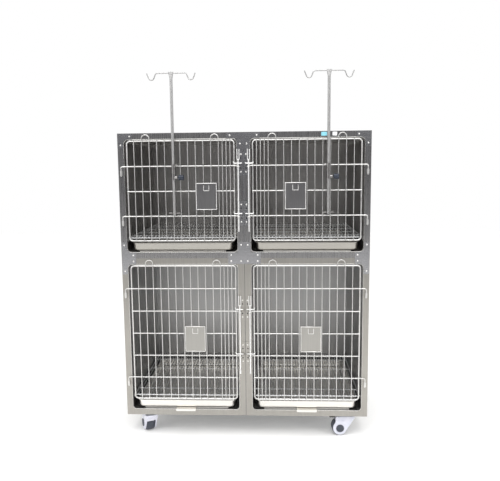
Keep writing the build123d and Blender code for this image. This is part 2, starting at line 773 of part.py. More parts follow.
def make_grate(cage):
    """Lift-out floor grate: fine wires front to back, welded on square cross bars."""
    half = OPENING_WIDTH / 2 - GRATE_SIDE_GAP - GRATE_EDGE_R
    front = FACE_Y + GRATE_FRONT
    back = front + GRATE_DEPTH
    bar_z = grate_underside(cage) + GRATE_BAR / 2
    wire_z = cage.opening_bottom + GRATE_TOP - GRATE_WIRE_R
    count = round(2 * half / GRATE_PITCH)
    with BuildPart() as grate:
        for share in GRATE_BARS:
            with Locations((cage.centre, front + share * GRATE_DEPTH, bar_z)):
                Box(2 * half, GRATE_BAR, GRATE_BAR)
        for index in range(count + 1):
            radius = GRATE_EDGE_R if index in (0, count) else GRATE_WIRE_R
            x = cage.centre - half + index * 2 * half / count
            wire_along_y(radius, x, front - GRATE_BAR, back + GRATE_BAR, wire_z)
    keep(grate.part, f"{cage.name}_grate")


def make_ledges():
    """Angle strips on the cabin sides that carry the grates."""
    ledges = []
    y = FACE_Y + GRATE_FRONT + GRATE_DEPTH / 2
    for cage in CAGES:
        top = grate_underside(cage) - REST_GAP
        for side in (-1, 1):
            wall = cage.centre + side * OPENING_WIDTH / 2
            with BuildPart() as ledge:
                with Locations((wall - side * LEDGE_WIDTH / 2, y, top - LEDGE_SHEET / 2)):
                    Box(LEDGE_WIDTH, LEDGE_DEPTH, LEDGE_SHEET)
                with Locations((wall - side * LEDGE_SHEET / 2, y, top - LEDGE_LEG / 2)):
                    Box(LEDGE_SHEET, LEDGE_DEPTH, LEDGE_LEG)
            ledges += ledge.solids()
    keep(Compound(children=ledges), "grate_ledges")


# ================================================================== drip stands
def stand_sizes(cage):
    """X of the stand, and the heights of its top, foot and sleeve."""
    x = cage.column(cage.stand_column)
    sleeve_top = cage.row(1) + SLEEVE_RISE
    return x, TOP_Z + STAND_TOP, cage.row(3) + STAND_BOTTOM, sleeve_top


def make_stand(cage):
    """Drip stand: a tube with a flattened top and one rod bent into a hook at each end."""
    x, top, foot, _ = stand_sizes(cage)
    inner = HOOK_HALF_SPAN - HOOK_WIDTH
    slope = (HOOK_WIDTH - HOOK_FLOOR) / 2
    with BuildPart() as stand:
        wire_along_z(STAND_R, x, STAND_Y, foot, top - FLARE_HEIGHT)
        with BuildSketch(Plane.XY.offset(top - FLARE_HEIGHT)):
            with Locations((x, STAND_Y)):
                Circle(STAND_R)
        with BuildSketch(Plane.XY.offset(top)):
            with Locations((x, STAND_Y)):
                Ellipse(FLARE_HALF_WIDTH, FLARE_HALF_THICK)
        loft()
        bar_z = top - HOOK_R * 2
        with BuildLine(at_y(STAND_Y)) as hooks:
            FilletPolyline(
                (x - HOOK_HALF_SPAN, bar_z),
                (x - HOOK_HALF_SPAN + slope, bar_z - HOOK_DEPTH),
                (x - inner - slope, bar_z - HOOK_DEPTH),
                (x - inner, bar_z),
                (x + inner, bar_z),
                (x + inner + slope, bar_z - HOOK_DEPTH),
                (x + HOOK_HALF_SPAN - slope, bar_z - HOOK_DEPTH),
                (x + HOOK_HALF_SPAN, bar_z),
                radius=HOOK_BEND,
            )
        with BuildSketch(Plane(origin=hooks.line @ 0, z_dir=hooks.line % 0)):
            Circle(HOOK_R)
        sweep()
    keep(stand.part, f"{cage.name}_drip_stand")


def make_sleeve(cage):
    """Stand holder on the door: a clamping sleeve hung over one cross wire and a ring clip below."""
    x, _, _, sleeve_top = stand_sizes(cage)
    sleeve_bottom = sleeve_top - SLEEVE_LENGTH
    bore = STAND_R + REST_GAP
    screw_z = sleeve_bottom + SCREW_HEIGHT + BOSS_R / 2
    saddle_x = x - cage.side * SADDLE_OFFSET
    saddle_z = cage.row(1) + CROSS_WIRE_R + CLIP_R
    collar_top = saddle_z + CLIP_R + STOP_GAP
    behind = CROSS_Y + CROSS_WIRE_R + CLIP_R + REST_GAP
    with BuildPart() as sleeve:
        wire_along_z(SLEEVE_R, x, STAND_Y, sleeve_bottom, collar_top)
        wire_along_x(BOSS_R, x, x + SLEEVE_R + BOSS_LENGTH, STAND_Y, screw_z)
        # saddle wire: out of the sleeve, over the cross wire and down behind it
        with BuildLine() as saddle:
            FilletPolyline(
                (x, STAND_Y, saddle_z),
                (saddle_x, STAND_Y, saddle_z),
                (saddle_x, behind, saddle_z),
                (saddle_x, behind, saddle_z - SADDLE_DROP),
                radius=CLIP_BEND,
            )
        with BuildSketch(Plane(origin=saddle.line @ 0, z_dir=saddle.line % 0)):
            Circle(CLIP_R)
        sweep()
        wire_along_z(bore, x, STAND_Y, sleeve_bottom - CLIP_R, collar_top + CLIP_R, Mode.SUBTRACT)
        with Locations((x + SLEEVE_R, STAND_Y, screw_z)):
            Cylinder(
                SCREW_R + SCREW_CLEAR,
                2 * (SLEEVE_R + BOSS_LENGTH) - 2 * STAND_R,
                rotation=(0, 90, 0),
                mode=Mode.SUBTRACT,
            )
    clip_z = cage.row(3) + CLIP_RISE
    ring_r = bore + CLIP_R
    bar_y = BAR_Y - BAR_R - CLIP_R
    with BuildPart() as clip:
        with Locations((x, STAND_Y, clip_z)):
            Torus(ring_r, CLIP_R)
        wire_along_x(CLIP_R, x - CLIP_HALF_SPAN, x + CLIP_HALF_SPAN, bar_y, clip_z - CLIP_R)
    keep(Compound(children=[*sleeve.solids(), *clip.solids()]), f"{cage.name}_stand_sleeve")


def make_knob(cage):
    """Thumb screw that locks the stand in its sleeve: a lobed plastic head on a steel screw."""
    x, _, _, sleeve_top = stand_sizes(cage)
    screw_z = sleeve_top - SLEEVE_LENGTH + SCREW_HEIGHT + BOSS_R / 2
    tip = x + STAND_R + REST_GAP
    head = x + KNOB_REACH
    with BuildPart() as knob:
        wire_along_x(SCREW_R, tip, head, STAND_Y, screw_z)
        with BuildSketch(Plane.YZ.offset(head)):
            with Locations((STAND_Y, screw_z)):
                Circle(KNOB_R)
                with PolarLocations(KNOB_R + KNOB_FLUTE_OUT, KNOB_FLUTES):
                    Circle(KNOB_FLUTE_R, mode=Mode.SUBTRACT)
        extrude(amount=KNOB_LENGTH)
        rim = knob.faces().sort_by(Axis.X)[-1].edges()
        fillet(rim, radius=KNOB_ROUND)
    keep(knob.part, f"{cage.name}_stand_knob")


# ================================================================== casters
@dataclass
class Caster:
    """One corner caster: its swivel axis and the heading in which its wheel trails."""

    name: str
    x: float
    y: float
    heading: float
    braked: bool

    def place(self):
        """Turns a caster modelled at the origin, trailing along -X, to where it stands."""
        return Pos(self.x, self.y, 0) * Rot(0, 0, self.heading - 180)


CASTER_X = HALF_WIDTH - CASTER_INSET_X
CASTER_FRONT = FACE_Y + CASTER_INSET_FRONT
CASTER_BACK = BACK_Y - CASTER_INSET_BACK
CASTERS = (
    Caster("front_left_caster", -CASTER_X, CASTER_FRONT, 116.0, True),
    Caster("front_right_caster", CASTER_X, CASTER_FRONT, 184.0, True),
    Caster("back_left_caster", -CASTER_X, CASTER_BACK, 70.0, False),
    Caster("back_right_caster", CASTER_X, CASTER_BACK, 105.0, False),
)


def make_caster_cover(caster):
    """Moulded swivel housing whose two cheeks cover the sides of the wheel."""
    centre_z = WHEEL_R
    cavity_r = WHEEL_R + WHEEL_CLEAR
    cavity_half = WHEEL_WIDTH / 2 + COVER_CLEAR
    plate_bottom = CASTER_HEIGHT - PLATE_THICK
    with BuildPart() as cover:
        with BuildSketch(at_y(COVER_HALF)):
            with Locations((-TRAIL, centre_z)):
                Circle(COVER_R)
            with BuildLine():
                Polyline(
                    (-COVER_TAIL, COVER_TOP),
                    (COVER_LEAD, COVER_TOP),
                    (COVER_LEAD - COVER_LIP_SLANT, COVER_TOP - COVER_LIP),
                    (COVER_TOE[0] - TRAIL, COVER_TOE[1] + centre_z),
                    (-TRAIL - COVER_WRAP, centre_z + COVER_WRAP),
                    (-COVER_TAIL, COVER_TOP - COVER_HEEL),
                    close=True,
                )
            make_face()
        extrude(amount=2 * COVER_HALF)
        rims = cover.edges().filter_by(lambda e: abs(abs(e.center().Y) - COVER_HALF) < 0.01)
        fillet(rims, radius=COVER_ROUND)
        with Locations((-TRAIL, 0, centre_z)):
            Cylinder(cavity_r, 2 * cavity_half, rotation=(90, 0, 0), mode=Mode.SUBTRACT)
            Cylinder(AXLE_R + AXLE_CLEAR, 3 * COVER_HALF, rotation=(90, 0, 0), mode=Mode.SUBTRACT)
        with Locations((COVER_LEAD / 2, 0, COVER_ARCH / 2)):
            Box(2 * COVER_LEAD, 2 * cavity_half, COVER_ARCH, mode=Mode.SUBTRACT)
        with Locations((-TRAIL / 2, 0, centre_z + COVER_SCREW_RISE)):
            with Locations((0, COVER_HALF, 0), (0, -COVER_HALF, 0)):
                Cylinder(
                    COVER_SCREW_R, 2 * COVER_SCREW_DEPTH, rotation=(90, 0, 0), mode=Mode.SUBTRACT
                )
        with Locations((0, 0, (COVER_TOP + plate_bottom - REST_GAP) / 2)):
            Cylinder(BEARING_R, plate_bottom - REST_GAP - COVER_TOP)
    keep(caster.place() * cover.part, f"{caster.name}_cover")


def make_wheel(caster):
    """Wheel with its axle and the two hub caps outside the cheeks."""
    cap_start = COVER_HALF + REST_GAP
    with BuildPart() as wheel:
        with Locations((-TRAIL, 0, WHEEL_R)):
            Cylinder(WHEEL_R, WHEEL_WIDTH, rotation=(90, 0, 0))
        treads = wheel.edges().filter_by(GeomType.CIRCLE)
        fillet(treads, radius=WHEEL_ROUND)
        with Locations((-TRAIL, 0, WHEEL_R)):
            Cylinder(AXLE_R, 2 * cap_start, rotation=(90, 0, 0))
            with Locations((0, cap_start + CAP_RISE / 2, 0), (0, -cap_start - CAP_RISE / 2, 0)):
                Cylinder(CAP_R, CAP_RISE, rotation=(90, 0, 0))
        faces = wheel.faces().filter_by(Plane.XZ).sort_by(Axis.Y)
        fillet([*faces[0].edges(), *faces[-1].edges()], radius=CAP_ROUND)
    keep(caster.place() * wheel.part, f"{caster.name}_wheel")


def make_pedal(caster):
    """Brake pedal: a flat tread plate on a round pivot behind the housing."""
    pivot_x = -COVER_TAIL - PEDAL_PIVOT_R - REST_GAP
    pivot_z = COVER_TOP - PEDAL_DROP
    with BuildPart() as pedal:
        with Locations((pivot_x, 0, pivot_z)):
            Cylinder(PEDAL_PIVOT_R, PEDAL_WIDTH, rotation=(90, 0, 0))
        with Locations((pivot_x - PEDAL_LENGTH / 2, 0, pivot_z - PEDAL_THICK / 2)):
            Box(PEDAL_LENGTH, PEDAL_WIDTH, PEDAL_THICK)
        tip = pedal.edges().filter_by(Axis.Z).group_by(Axis.X)[0]
        fillet(tip, radius=PEDAL_CORNER)
    keep(caster.place() * pedal.part, f"{caster.name}_brake_pedal")


def make_caster_plates():
    """Square top plates of the casters, bolted up under the cages."""
    plates = []
    bolts = []
    bolt_z = CASTER_HEIGHT - PLATE_THICK - BOLT_HEAD
    for caster in CASTERS:
        with BuildPart() as plate:
            with BuildSketch(Plane.XY.offset(CASTER_HEIGHT - PLATE_THICK)):
                with Locations((caster.x, caster.y)):
                    RectangleRounded(PLATE_SIZE, PLATE_SIZE, PLATE_CORNER)
            extrude(amount=PLATE_THICK)
        plates += plate.solids()
        with BuildPart() as heads:
            with BuildSketch(Plane.XY.offset(bolt_z)):
                with Locations((caster.x, caster.y)):
                    with GridLocations(BOLT_SPACING, BOLT_SPACING, 2, 2):
                        RegularPolygon(BOLT_R, 6)
            extrude(amount=BOLT_HEAD)
        bolts += heads.solids()
    keep(Compound(children=plates), "caster_plates")
    keep(Compound(children=bolts), "caster_bolts")


# ================================================================== build every piece
for cage in CAGES:
    make_front(cage)
    make_liner(cage)
    make_door(cage)
    make_card_holder(cage)
    make_latch(cage)
    make_tray(cage)
    make_grate(cage)
    if cage.tray_handle:
        make_tray_handle(cage)
    if cage.stand_column:
        make_stand(cage)
        make_sleeve(cage)
        make_knob(cage)

make_casings((UPPER_LEFT, UPPER_RIGHT), "upper_casings")
make_casings((LOWER_LEFT, LOWER_RIGHT), "lower_casings")
make_back_panels()
make_plates()
make_catch_plates()
make_rivets()
make_hinge_eyes()
make_runners()
make_ledges()

for caster in CASTERS:
    make_caster_cover(caster)
    make_wheel(caster)
    if caster.braked:
        make_pedal(caster)
make_caster_plates()
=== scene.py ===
import math

import bmesh
import bpy
from mathutils import Matrix, Vector


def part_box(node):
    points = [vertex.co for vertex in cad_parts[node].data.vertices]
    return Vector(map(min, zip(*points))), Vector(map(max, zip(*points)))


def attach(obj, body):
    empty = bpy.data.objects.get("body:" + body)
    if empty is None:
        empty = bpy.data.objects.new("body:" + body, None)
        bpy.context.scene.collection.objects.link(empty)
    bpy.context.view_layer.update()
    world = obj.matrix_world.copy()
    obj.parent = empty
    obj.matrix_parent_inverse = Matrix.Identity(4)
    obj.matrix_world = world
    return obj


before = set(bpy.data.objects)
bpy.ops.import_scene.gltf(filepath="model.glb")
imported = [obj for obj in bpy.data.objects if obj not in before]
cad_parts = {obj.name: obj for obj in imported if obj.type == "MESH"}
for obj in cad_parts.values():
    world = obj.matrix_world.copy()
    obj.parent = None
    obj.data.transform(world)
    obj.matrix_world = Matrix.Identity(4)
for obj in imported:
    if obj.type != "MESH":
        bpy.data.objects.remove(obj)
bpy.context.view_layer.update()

# ------------------------------------------------------------------ face frames
# Each cage has a flat front frame, laser cut from 1.5 mm stainless sheet with a satin brushed
# finish. The frames are welded to the casings. The upper two face the dark side of a room and the
# lower two pick up the pale floor, so the lower sheets read warmer and lighter.
CAGES = ("upper_left", "upper_right", "lower_left", "lower_right")
ALONG_X, ALONG_Y, ALONG_Z = (0.02, 1, 1), (1, 0.02, 1), (1, 1, 0.02)  # the way the streaks run
NO_GRAIN = (1, 1, 1)


def linear(colour):
    """An sRGB hex colour as the linear one that a shader takes."""
    channels = [int(colour[start : start + 2], 16) / 255 for start in (1, 3, 5)]
    curve = [c / 12.92 if c <= 0.04045 else ((c + 0.055) / 1.055) ** 2.4 for c in channels]
    return (*curve, 1.0)


def add_node(tree, kind, settings=None, links=None):
    """Adds a shader node with its settings, by property or socket, and links into its sockets."""
    made = tree.nodes.new(kind)
    for name, value in (settings or {}).items():
        if isinstance(name, int) or name in made.inputs:
            made.inputs[name].default_value = value
        else:
            setattr(made, name, value)
    for name, source in (links or {}).items():
        tree.links.new(source, made.inputs[name])
    return made


def start_material(name):
    """A new material with its Principled shader, and where on the object each point lies."""
    made = bpy.data.materials.new(name)
    made.use_nodes = True
    tree = made.node_tree
    place = add_node(tree, "ShaderNodeTexCoord").outputs["Object"]
    return made, tree, tree.nodes["Principled BSDF"], place


def brushed_stainless(name, light, dark, roughness, streak_mm, grain=ALONG_Z):
    """Stainless sheet after belt brushing: long fine streaks, and softer patches from handling.
    Real belt marks are about 0.2 mm apart and are drawn at streak_mm so that they show."""
    made, tree, shader, place = start_material(name)
    per_metre = 1000 / streak_mm
    stretched = add_node(
        tree,
        "ShaderNodeMapping",
        {"Scale": [per_metre * share for share in grain]},
        {"Vector": place},
    )
    streaks = add_node(
        tree,
        "ShaderNodeTexNoise",
        {"Scale": 1.0, "Detail": 4.0, "Roughness": 0.65},
        {"Vector": stretched.outputs["Vector"]},
    )
    patches = add_node(
        tree,
        "ShaderNodeTexNoise",
        {"Scale": 1000 / 140, "Detail": 2.0, "Roughness": 0.5},
        {"Vector": place},
    )
    tone = add_node(
        tree,
        "ShaderNodeMapRange",
        {"From Min": 0.15, "From Max": 0.85, "To Min": 0.0, "To Max": 1.0},
        {"Value": streaks.outputs["Fac"]},
    )
    brushed = add_node(
        tree,
        "ShaderNodeMix",
        {"data_type": "RGBA", 6: linear(dark), 7: linear(light)},
        {0: tone.outputs["Result"]},
    )
    handled = add_node(
        tree,
        "ShaderNodeMapRange",
        {"From Min": 0.35, "From Max": 0.65, "To Min": 0.0, "To Max": 0.16},
        {"Value": patches.outputs["Fac"]},
    )
    worn = add_node(
        tree,
        "ShaderNodeMix",
        {"data_type": "RGBA", 7: linear(dark)},
        {0: handled.outputs["Result"], 6: brushed.outputs[2]},
    )
    spread = add_node(
        tree,
        "ShaderNodeMath",
        {"operation": "ADD"},
        {0: handled.outputs["Result"], 1: tone.outputs["Result"]},
    )
    rough = add_node(
        tree,
        "ShaderNodeMapRange",
        {"From Min": 0.0, "From Max": 1.2, "To Min": roughness - 0.05, "To Max": roughness + 0.07},
        {"Value": spread.outputs["Value"]},
    )
    ridges = add_node(
        tree,
        "ShaderNodeBump",
        {"Strength": 0.06, "Distance": 0.0002},
        {"Height": streaks.outputs["Fac"]},
    )
    tree.links.new(worn.outputs[2], shader.inputs["Base Color"])
    tree.links.new(rough.outputs["Result"], shader.inputs["Roughness"])
    tree.links.new(ridges.outputs["Normal"], shader.inputs["Normal"])
    shader.inputs["Metallic"].default_value = 1.0
    return made


def dress(names, material):
    """Gives CAD nodes their finish."""
    for name in names:
        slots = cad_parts[name].data.materials
        slots.clear()
        slots.append(material)


upper_face_sheet = brushed_stainless(
    "satin stainless, upper faces", "#A9A8A8", "#8D8C8D", 0.27, 3.0
)
lower_face_sheet = brushed_stainless(
    "satin stainless, lower faces", "#B1AEA8", "#9B9893", 0.33, 3.0
)
dress(("upper_left_face", "upper_right_face"), upper_face_sheet)
dress(("lower_left_face", "lower_right_face"), lower_face_sheet)

# The doorway edge of each frame is rolled, so it catches a thin bright line all round.
# The roll's lighter colour is a painted highlight, brighter than the brushed sheet.
LIP_RADIUS = 0.0016
LIP_DEPTH = 0.0006  # from the front of the face to the middle of the roll
DOORWAY_CORNER = 0.020
LINER_SHEET = 0.0012


def doorway(cage):
    """Lowest and highest corner of a doorway, from the liner behind it."""
    low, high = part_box(f"{cage}_liner")
    edge = Vector((LINER_SHEET, 0, LINER_SHEET))
    return low + edge, high - edge


def round_rectangle(low_x, low_z, high_x, high_z, corner, steps=8):
    """Points round an upright rectangle with round corners."""
    points = []
    for centre_x, centre_z, start in (
        (high_x - corner, high_z - corner, 0),
        (low_x + corner, high_z - corner, 90),
        (low_x + corner, low_z + corner, 180),
        (high_x - corner, low_z + corner, 270),
    ):
        for step in range(steps + 1):
            angle = math.radians(start + 90 * step / steps)
            across, up = corner * math.cos(angle), corner * math.sin(angle)
            points.append((centre_x + across, centre_z + up))
    return points


def tube(name, points, radius, material, closed=False, sides=4):
    """A round wire through points, as a bevelled curve."""
    data = bpy.data.curves.new(name, "CURVE")
    data.dimensions = "3D"
    data.bevel_depth = radius
    data.bevel_resolution = sides
    data.use_fill_caps = True
    spline = data.splines.new("POLY")
    spline.points.add(len(points) - 1)
    for control, point in zip(spline.points, points):
        control.co = (*point, 1.0)
    spline.use_cyclic_u = closed
    data.materials.append(material)
    made = bpy.data.objects.new(name, data)
    bpy.context.scene.collection.objects.link(made)
    return made


# The lip's near-white colour is painted highlight.
lip_painted_highlight = brushed_stainless("rolled edge with painted highlight", "#DAD9D5", "#B5B4B1", 0.2, 6.0)
for cage in CAGES:
    low, high = doorway(cage)
    face_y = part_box(f"{cage}_face")[0].y
    outline = round_rectangle(low.x, low.z, high.x, high.z, DOORWAY_CORNER)
    lip = tube(
        f"{cage}_rolled_lip",
        [(x, face_y + LIP_DEPTH, z) for x, z in outline],
        LIP_RADIUS,
        lip_painted_highlight,
        closed=True,
    )
    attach(lip, "cabinet")

# ------------------------------------------------------------------ joining plates and rivets
# Stainless plates 1.5 mm thick bridge the seams between neighbouring cages. Domed aluminium
# rivets hold them, and the catch plates also have two sunk socket screws each.
plate_sheet = brushed_stainless(
    "satin stainless, joining plates", "#BCBCBE", "#A2A2A5", 0.25, 3.0, ALONG_X
)
# The low plates' colour is painted floor reflection.
plate_sheet_painted_floor_reflection = brushed_stainless(
    "low stainless plates, painted floor reflection", "#B1AEA8", "#9B9893", 0.32, 3.0, ALONG_X
)
dress(("corner_plates", "centre_plates", "catch_plates"), plate_sheet)

# The catch plates below the seam take the lighter, warmer tone of the lower faces,
# which is painted reflection of the pale floor.
seam_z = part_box("lower_left_face")[1].z
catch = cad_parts["catch_plates"]
catch.data.materials.append(plate_sheet_painted_floor_reflection)
for face in catch.data.polygons:
    if (catch.matrix_world @ face.center).z < seam_z:
        face.material_index = 1


def aluminium_rivet():
    """Cold-headed aluminium: bright, faintly orange-peeled, dull where fingers have been."""
    made, tree, shader, place = start_material("cold-headed aluminium rivet")
    peel = add_node(
        tree, "ShaderNodeTexNoise", {"Scale": 1000 / 1.2, "Detail": 2.0}, {"Vector": place}
    )
    tone = add_node(
        tree,
        "ShaderNodeMix",
        {"data_type": "RGBA", 6: linear("#D6D5D2"), 7: linear("#F4F3F0")},
        {0: peel.outputs["Fac"]},
    )
    rough = add_node(
        tree,
        "ShaderNodeMapRange",
        {"To Min": 0.22, "To Max": 0.38},
        {"Value": peel.outputs["Fac"]},
    )
    tree.links.new(tone.outputs[2], shader.inputs["Base Color"])
    tree.links.new(rough.outputs["Result"], shader.inputs["Roughness"])
    shader.inputs["Metallic"].default_value = 1.0
    return made


rivet_metal = aluminium_rivet()
dress(("plate_rivets",), rivet_metal)

SCREW_HEAD = 0.0032
SCREW_SOCKET = 0.0017
SCREW_PROFILE = (  # radius and height, from the rim over the crown into the socket
    (SCREW_HEAD, 0.0),
    (SCREW_HEAD, 0.0006),
    (SCREW_HEAD * 0.85, 0.0011),
    (SCREW_SOCKET, 0.0011),
    (SCREW_SOCKET * 0.9, 0.0002),
)
SCREW_SIDES = 12
SCREW_STEPS = (-0.024, 0.024)  # below and above the middle of a catch plate
CATCH_MIDDLES = (1.385, 1.143, 0.668, 0.440)
CATCH_GAP = 0.002  # between a left and a right catch plate


def blackened_steel():
    """Phosphated screw steel: near black, matt, slightly oily and uneven."""
    made, tree, shader, place = start_material("phosphated screw steel")
    film = add_node(
        tree, "ShaderNodeTexNoise", {"Scale": 1000 / 2.0, "Detail": 3.0}, {"Vector": place}
    )
    tone = add_node(
        tree,
        "ShaderNodeMix",
        {"data_type": "RGBA", 6: linear("#1C1D20"), 7: linear("#3A3B40")},
        {0: film.outputs["Fac"]},
    )
    rough = add_node(
        tree, "ShaderNodeMapRange", {"To Min": 0.35, "To Max": 0.6}, {"Value": film.outputs["Fac"]}
    )
    tree.links.new(tone.outputs[2], shader.inputs["Base Color"])
    tree.links.new(rough.outputs["Result"], shader.inputs["Roughness"])
    shader.inputs["Metallic"].default_value = 0.8
    return made


def mesh_object(name, work, material, smooth=True):
    """Turns a bmesh into a piece with its finish."""
    data = bpy.data.meshes.new(name)
    bmesh.ops.recalc_face_normals(work, faces=work.faces)
    work.to_mesh(data)
    work.free()
    for face in data.polygons:
        face.use_smooth = smooth
    data.materials.append(material)
    made = bpy.data.objects.new(name, data)
    bpy.context.scene.collection.objects.link(made)
    return made


def lathe(work, profile, place, steps):
    """Turns a profile of (radius, height) round the Z axis of place."""
    rings = []
    for radius, height in profile:
        ring = []
        for step in range(steps):
            angle = 2 * math.pi * step / steps
            spot = Vector((radius * math.cos(angle), radius * math.sin(angle), height))
            ring.append(work.verts.new(place @ spot))
        rings.append(ring)
    for lower, upper in zip(rings, rings[1:]):
        for step in range(steps):
            after = (step + 1) % steps
            work.faces.new((lower[step], lower[after], upper[after], upper[step]))
    work.faces.new(list(reversed(rings[0])))
    work.faces.new(rings[-1])


screw_steel = blackened_steel()
FORWARD = Matrix.Rotation(math.radians(90), 4, "X")  # turns +Z to face the front, -Y
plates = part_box("catch_plates")
screw_x = (plates[1].x - plates[0].x + CATCH_GAP) / 4
face_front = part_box("centre_plates")[0].y
screws = bmesh.new()
for height in CATCH_MIDDLES:
    for side in (-1, 1):
        for step in SCREW_STEPS:
            spot = Matrix.Translation((side * screw_x, face_front, height + step)) @ FORWARD
            lathe(screws, SCREW_PROFILE, spot, SCREW_SIDES)
screw_heads = mesh_object("catch_plate_screws", screws, screw_steel, smooth=False)
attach(screw_heads, "cabinet")

# ------------------------------------------------------------------ seam between the cages
# Neighbouring cages stand side by side, and a matt grey strip lies in the joint between their
# front frames as painted shade of the gap. It is slightly uneven and barely proud of the sheet.
SEAM_WIDTH = 0.0022
SEAM_RISE = 0.0004
SEAM_END = 0.001  # short of each end of the frames


def seam_shade_grey():
    """Painted shade of the joint gap: matt mid grey with a soft uneven skin."""
    made, tree, shader, place = start_material("painted shade of the frame joint")
    skin = add_node(
        tree, "ShaderNodeTexNoise", {"Scale": 1000 / 6.0, "Detail": 3.0}, {"Vector": place}
    )
    tone = add_node(
        tree,
        "ShaderNodeMix",
        {"data_type": "RGBA", 6: linear("#4C4D4F"), 7: linear("#66676A")},
        {0: skin.outputs["Fac"]},
    )
    dimples = add_node(
        tree,
        "ShaderNodeBump",
        {"Strength": 0.3, "Distance": 0.0003},
        {"Height": skin.outputs["Fac"]},
    )
    tree.links.new(tone.outputs[2], shader.inputs["Base Color"])
    tree.links.new(dimples.outputs["Normal"], shader.inputs["Normal"])
    shader.inputs["Roughness"].default_value = 0.7
    return made


def block(work, size, spot):
    """A box of a size, with its middle at spot."""
    place = Matrix.Translation(spot) @ Matrix.Diagonal((*size, 1.0))
    bmesh.ops.create_cube(work, size=1.0, matrix=place)


# The grey of this strip is painted shade of the joint gap.
seam_painted_shade = seam_shade_grey()
for tier in ("upper", "lower"):
    low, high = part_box(f"{tier}_left_face")
    gap_shade = bmesh.new()
    size = (SEAM_WIDTH, SEAM_RISE * 2, high.z - low.z - 2 * SEAM_END)
    block(gap_shade, size, (high.x, low.y, (low.z + high.z) / 2))
    strip = mesh_object(f"{tier}_seam_shade_strip", gap_shade, seam_painted_shade, smooth=False)
    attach(strip, "cabinet")

# ------------------------------------------------------------------ casings and back sheets
# The outer casings and back sheets are 1.2 mm stainless, spot welded together. The casings are
# brushed front to back, and the back sheets have shallow stiffening creases.
casing_sheet = brushed_stainless(
    "brushed stainless casing", "#C2C2C1", "#A2A3A4", 0.34, 4.0, ALONG_Y
)
back_sheet = brushed_stainless("brushed stainless back", "#BEBEBD", "#9C9D9F", 0.36, 4.0)
dress(("upper_casings", "lower_casings"), casing_sheet)
dress(("back_panels",), back_sheet)

CREASE_WIDTH = 0.009
CREASE_RISE = 0.0012
CREASE_RUNOUT = 0.02  # the length over which each end fades into the sheet
CREASE_TIP = 0.2  # width left at the very end, as a share of the whole
CREASE_PROFILE = ((-1.0, 0.0), (-0.5, 0.7), (0.0, 1.0), (0.5, 0.7), (1.0, 0.0))
CREASE_INSET = 0.075
OUTWARD = Vector((0, 1, 0))


def crease(work, start, end):
    """A shallow pressed ridge from start to end, standing outward by CREASE_RISE."""
    along = (end - start).normalized()
    across = along.cross(OUTWARD) * CREASE_WIDTH / 2
    run = along * CREASE_RUNOUT
    rows = []
    for spot, share in ((start, 0.0), (start + run, 1.0), (end - run, 1.0), (end, 0.0)):
        width = max(share, CREASE_TIP)
        rows.append(
            [
                work.verts.new(spot + across * side * width + OUTWARD * CREASE_RISE * rise * share)
                for side, rise in CREASE_PROFILE
            ]
        )
    for first, second in zip(rows, rows[1:]):
        for index in range(len(CREASE_PROFILE) - 1):
            work.faces.new((first[index], first[index + 1], second[index + 1], second[index]))


def inset_corners(cage, inset):
    """Corners (x, z) of a cage's back sheet, moved in from its edges, in order round it."""
    low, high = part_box(f"{cage}_face")
    left, right = low.x + inset, high.x - inset
    bottom, top = low.z + inset, high.z - inset
    return [(left, bottom), (right, bottom), (right, top), (left, top)]


back_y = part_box("back_panels")[1].y
creases = bmesh.new()
for cage in CAGES:
    corners = [Vector((x, back_y, z)) for x, z in inset_corners(cage, CREASE_INSET)]
    crease(creases, corners[0], corners[2])
    crease(creases, corners[1], corners[3])
pressed = mesh_object("back_sheet_creases", creases, back_sheet)
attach(pressed, "cabinet")

# Blind rivets go round each back sheet.
BACK_RIVET = 0.0036
BACK_RIVET_PROFILE = (  # radius and height, from the rim over the crown into the blind hole
    (BACK_RIVET, -0.0003),
    (BACK_RIVET * 0.94, 0.0007),
    (BACK_RIVET * 0.7, 0.0013),
    (BACK_RIVET * 0.35, 0.0015),
    (BACK_RIVET * 0.3, 0.0009),
)
BACK_RIVET_SIDES = 12
BACK_RIVET_PITCH = 0.13
BACK_RIVET_INSET = 0.014
BACKWARD = Matrix.Rotation(math.radians(-90), 4, "X")  # turns +Z to face the back, +Y
back_rivets = bmesh.new()
for cage in CAGES:
    corners = [Vector(corner) for corner in inset_corners(cage, BACK_RIVET_INSET)]
    for first, last in zip(corners, corners[1:] + corners[:1]):
        count = max(2, round((last - first).length / BACK_RIVET_PITCH))
        for index in range(count):
            spot = first.lerp(last, index / count)
            place = Matrix.Translation((spot.x, back_y, spot.y)) @ BACKWARD
            lathe(back_rivets, BACK_RIVET_PROFILE, place, BACK_RIVET_SIDES)
blind_rivets = mesh_object("back_sheet_rivets", back_rivets, rivet_metal)
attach(blind_rivets, "cabinet")

# ------------------------------------------------------------------ liners, runners and ledges
# Each cabin is lined with brushed stainless sheet, rounded at its four long corners so that it can
# be washed out. The tray runners and grate ledges are folded strips welded to its floor and sides.
# The cabins share one sheet in two tones: the darker upper tone is painted shade, and the lighter
# lower tone, also on the runners and ledges, is painted light.
liner_sheet_painted_shade = brushed_stainless(
    "brushed stainless, upper cabins", "#B5B3B1", "#9D9B99", 0.36, 5.0
)
liner_sheet_painted_light = brushed_stainless(
    "brushed stainless, lower cabins", "#BDBCBB", "#A6A6A6", 0.38, 5.0
)
dress(("upper_left_liner", "upper_right_liner"), liner_sheet_painted_shade)
dress(("lower_left_liner", "lower_right_liner"), liner_sheet_painted_light)
dress(("tray_runners", "grate_ledges"), liner_sheet_painted_light)

